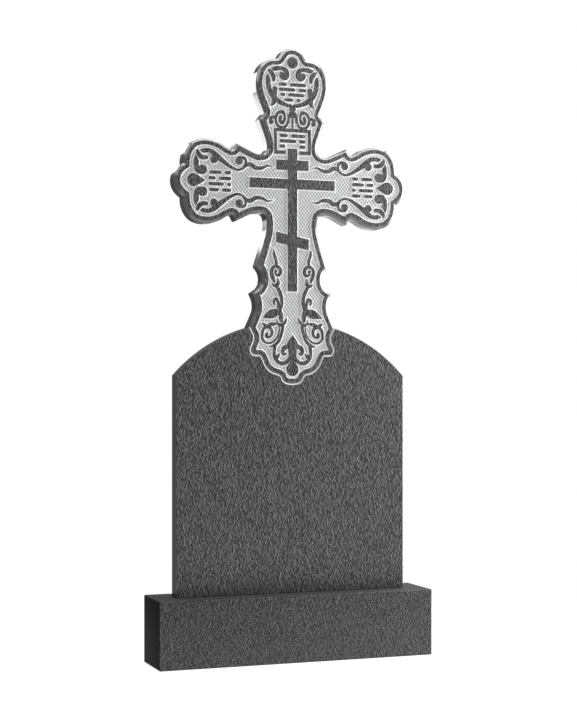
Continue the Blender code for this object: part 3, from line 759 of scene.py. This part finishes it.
def stele_mesh(thickness):
    """The carved stele, with its front at depth 0 and its foot at height 0, and its arms' height."""
    plan = FrontPlan()
    points, triangles = triangulated(plan.outlines())
    sunk = plan.kinds(points[triangles].mean(axis=1)) == "ground"
    starts, ends = wall_lines(points, triangles, sunk)
    wall_distance = WallDistance(starts, ends)
    extra = ground_points(plan, starts, ends, wall_distance)

    points, triangles = triangulated(plan.outlines(), extra)
    kinds = plan.kinds(points[triangles].mean(axis=1))
    triangles, kinds = triangles[kinds != "outside"], kinds[kinds != "outside"]
    reach = wall_reach(points, triangles, kinds == "ground", wall_distance)
    depths = front_depths(plan, points, triangles, kinds, reach)
    materials = front_materials(triangles, kinds, reach)
    mesh = relief_body(points, triangles, depths, materials, thickness)
    bmesh.ops.recalc_face_normals(mesh, faces=mesh.faces)
    back = max(mesh.faces, key=lambda face: len(face.verts))
    bmesh.ops.inset_individual(mesh, faces=[back], thickness=SLAB_ARRIS, depth=SLAB_ARRIS)
    return mesh, plan.axis_height


def new_node(tree, kind, **settings):
    """A shader node with its settings."""
    node = tree.nodes.new(kind)
    for name, value in settings.items():
        setattr(node, name, value)
    return node


def arithmetic(tree, operation, first, second=None, third=None):
    """A sum, product or other operation on sockets and numbers."""
    node = new_node(tree, "ShaderNodeMath", operation=operation)
    for socket, value in zip(node.inputs, (first, second, third)):
        if isinstance(value, (int, float)):
            socket.default_value = value
        elif value is not None:
            tree.links.new(value, socket)
    return node.outputs["Value"]


def blank_material(name, roughness, gloss):
    """A material, its node tree and its shader."""
    material = bpy.data.materials.new(name)
    material.use_nodes = True
    tree = material.node_tree
    shader = tree.nodes["Principled BSDF"]
    shader.inputs["Roughness"].default_value = roughness
    shader.inputs["Specular IOR Level"].default_value = gloss
    return material, tree, shader


def crystals(tree, width, height, place):
    """Stone crystals of that width and height: each has one random value from 0 to 1."""
    coordinates = new_node(tree, "ShaderNodeTexCoord")
    mapping = new_node(tree, "ShaderNodeMapping", vector_type="TEXTURE")
    mapping.inputs["Location"].default_value = place
    mapping.inputs["Scale"].default_value = (width, width, height)
    tree.links.new(coordinates.outputs["Object"], mapping.inputs["Vector"])
    cells = new_node(tree, "ShaderNodeTexVoronoi")
    cells.inputs["Scale"].default_value = 1
    tree.links.new(mapping.outputs["Vector"], cells.inputs["Vector"])
    split = new_node(tree, "ShaderNodeSeparateColor")
    tree.links.new(cells.outputs["Color"], split.inputs["Color"])
    return split.outputs["Red"]


def grey_levels(tree, value, stops):
    """A grey colour for the value, between the levels given at places from 0 to 1."""
    ramp = new_node(tree, "ShaderNodeValToRGB")
    elements = ramp.color_ramp.elements
    while len(elements) < len(stops):
        elements.new(0.5)
    for element, (place, level) in zip(elements, stops):
        element.position = place
        element.color = (level, level, level * COOLNESS, 1)
    tree.links.new(value, ramp.inputs["Fac"])
    return ramp.outputs["Color"]


def granite(name, level, contrast, width, height, roughness, gloss):
    """Dark granite: crystals of that width and height, each with one painted lit flank and one painted
    shaded flank.
    """
    material, tree, shader = blank_material(name, roughness, gloss)
    here = crystals(tree, width, height, (0, 0, 0))
    beside = crystals(tree, width, height, (PAINTED_FLANK_SHIFT * width, 0, 0))
    fine = crystals(tree, FINE_SIZE * width, FINE_SIZE * height, FINE_PLACE)
    # Painted light and shade: taking away the moved copy makes each crystal lighter on one flank and darker
    # on the other
    painted_flanks = arithmetic(tree, "MULTIPLY_ADD", beside, -PAINTED_SHADE_SHARE, here)
    value = arithmetic(tree, "MULTIPLY_ADD", fine, FINE_SHARE, painted_flanks)
    spread = 1 + PAINTED_SHADE_SHARE + FINE_SHARE
    value = arithmetic(tree, "MULTIPLY_ADD", value, 1 / spread, PAINTED_SHADE_SHARE / spread)
    stops = [(place, level * (1 + contrasts * contrast)) for place, contrasts in GRANITE_STOPS]
    tree.links.new(grey_levels(tree, value, stops), shader.inputs["Base Color"])
    return material


def cut_stone(name, low, high, roughness):
    """Freshly cut pale stone with a fine grain."""
    material, tree, shader = blank_material(name, roughness, CUT_GLOSS)
    grain = crystals(tree, GRAIN_SIZE, GRAIN_SIZE, GRAIN_PLACE)
    tree.links.new(grey_levels(tree, grain, [(0.0, low), (1.0, high)]), shader.inputs["Base Color"])
    return material


def slanted_wave(tree, split, rise, start, axis_height):
    """The cosine of one slanted wave of the dots."""
    across = arithmetic(tree, "MULTIPLY", split.outputs["X"], 2 * math.pi / DOT_ACROSS)
    up = arithmetic(tree, "SUBTRACT", split.outputs["Z"], axis_height)
    both = arithmetic(tree, "MULTIPLY_ADD", up, rise * 2 * math.pi / DOT_UP, across)
    return arithmetic(tree, "COSINE", arithmetic(tree, "SUBTRACT", both, math.radians(start)))


def dotted_stone(name, low, high, roughness, axis_height):
    """Pale ground with darker and brighter dots where two slanted waves cross."""
    material, tree, shader = blank_material(name, roughness, CUT_GLOSS)
    coordinates = new_node(tree, "ShaderNodeTexCoord")
    split = new_node(tree, "ShaderNodeSeparateXYZ")
    tree.links.new(coordinates.outputs["Object"], split.inputs["Vector"])
    value = DOTS_MIDDLE
    for rise, start, share in DOT_WAVES:
        dots = slanted_wave(tree, split, rise, start, axis_height)
        value = arithmetic(tree, "MULTIPLY_ADD", dots, DOTS_SWING * share, value)
    grain = crystals(tree, GRAIN_SIZE, GRAIN_SIZE, GRAIN_PLACE)
    value = arithmetic(tree, "MULTIPLY_ADD", grain, DOTS_GRAIN, value)
    tree.links.new(grey_levels(tree, value, [(0.0, low), (1.0, high)]), shader.inputs["Base Color"])
    return material


def add_piece(name, mesh, sharp_angle, node, materials):
    """A finished piece made from the mesh, in place of a plain solid."""
    data = bpy.data.meshes.new(name)
    mesh.to_mesh(data)
    mesh.free()
    data.shade_smooth()
    data.set_sharp_from_angle(angle=math.radians(sharp_angle))
    for material in materials:
        data.materials.append(material)
    piece = bpy.data.objects.new(name, data)
    bpy.context.scene.collection.objects.link(piece)
    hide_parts(node)
    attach(piece, "root")


def make_stele():
    """The carved stele."""
    low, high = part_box("stele")
    mesh, axis_height = stele_mesh(high.y - low.y)
    bmesh.ops.translate(mesh, vec=(0, low.y, low.z), verts=mesh.verts)
    materials = [granite("polished granite face", *FACE_STONE),
                 dotted_stone("dotted ground", *GROUND_STONE, low.z + axis_height),
                 cut_stone("cut walls", *WALL_STONE),
                 # The sides' darker copy of the granite is painted shade
                 granite("polished granite sides, painted shade", *SIDE_STONE_PAINTED_SHADE),
                 # The sloping edge's paler copy of the granite is painted light
                 granite("polished sloping edge, painted light", *EDGE_STONE_PAINTED_LIGHT),
                 cut_stone("white flank", *FLANK_STONE)]
    add_piece("carved_stele", mesh, STELE_SHARP_ANGLE, "stele", materials)


def make_base():
    """The base block with rounded edges, its top and ends plainer than its front; the top is paler, painted
    light, and the ends near black, painted shade.
    """
    low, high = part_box("base")
    mesh = bmesh.new()
    bmesh.ops.create_cube(mesh, size=1)
    bmesh.ops.scale(mesh, vec=high - low, verts=mesh.verts)
    bmesh.ops.translate(mesh, vec=(low + high) / 2, verts=mesh.verts)
    bmesh.ops.bevel(mesh, geom=mesh.edges[:], offset=BASE_ROUNDING, segments=ROUNDING_STEPS, profile=0.5,
                    affect="EDGES")
    for face in mesh.faces:
        face.material_index = BASE_FRONT
        # The ends get a near-black copy of the granite, painted shade; the top gets a paler one, painted
        # light
        if abs(face.normal.x) > END_FACING:
            face.material_index = BASE_ENDS_PAINTED_SHADE
        elif abs(face.normal.y) < FRONT_FACING:
            face.material_index = BASE_TOP_PAINTED_LIGHT
    materials = [granite("base front", *FRONT_STONE),
                 granite("base top, painted light", *TOP_STONE_PAINTED_LIGHT),
                 granite("base ends, painted shade", *END_STONE_PAINTED_SHADE)]
    add_piece("base_block", mesh, BASE_SHARP_ANGLE, "base", materials)


def add_camera():
    """A level camera, shifted up a little, at the photograph's place."""
    data = bpy.data.cameras.new("camera")
    data.sensor_width = CAMERA_SENSOR
    data.lens = CAMERA_LENS
    data.shift_y = CAMERA_SHIFT
    camera = bpy.data.objects.new("camera", data)
    camera.location = CAMERA_PLACE
    camera.rotation_euler = (math.radians(90), 0, math.radians(-CAMERA_TURN))
    bpy.context.scene.collection.objects.link(camera)
    bpy.context.scene.camera = camera


def soft_box(name, place, aim, width, height, brightness):
    """A rectangular light at the place, turned to the point that it aims at."""
    data = bpy.data.lights.new(name, "AREA")
    data.shape = "RECTANGLE"
    data.size = width
    data.size_y = height
    data.energy = brightness * width * height * math.pi
    light = bpy.data.objects.new(name, data)
    light.location = place
    light.rotation_euler = (Vector(aim) - Vector(place)).to_track_quat("-Z", "Y").to_euler()
    light.visible_camera = False
    bpy.context.scene.collection.objects.link(light)


def add_surround():
    """A soft grey light from all sides, which the camera sees as white."""
    world = bpy.data.worlds.new("studio")
    bpy.context.scene.world = world
    world.use_nodes = True
    tree = world.node_tree
    rays = new_node(tree, "ShaderNodeLightPath")
    seen = new_node(tree, "ShaderNodeMix", data_type="RGBA")
    dim, white = [seen.inputs[place] for place in MIX_COLOURS]
    dim.default_value = (FILL, FILL, FILL, 1)
    white.default_value = (1, 1, 1, 1)
    tree.links.new(rays.outputs["Is Camera Ray"], seen.inputs["Factor"])
    tree.links.new(seen.outputs[MIX_RESULT], tree.nodes["Background"].inputs["Color"])


def add_floor():
    """A round pale floor, lit a little from within so that its shadows stay faint."""
    bpy.ops.mesh.primitive_circle_add(vertices=FLOOR_SIDES, radius=FLOOR_RADIUS, fill_type="NGON")
    floor = bpy.context.object
    floor.name = "floor"
    material, _, shader = blank_material("pale floor", FLOOR_ROUGHNESS, FLOOR_GLOSS)
    shader.inputs["Base Color"].default_value = (FLOOR_LEVEL, FLOOR_LEVEL, FLOOR_LEVEL, 1)
    shader.inputs["Emission Color"].default_value = (1, 1, 1, 1)
    shader.inputs["Emission Strength"].default_value = FLOOR_GLOW
    floor.data.materials.append(material)


make_stele()
make_base()
add_camera()
add_surround()
add_floor()
for box_name, box_settings in SOFT_BOXES.items():
    soft_box(box_name, *box_settings)
bpy.context.scene.view_settings.view_transform = "Standard"
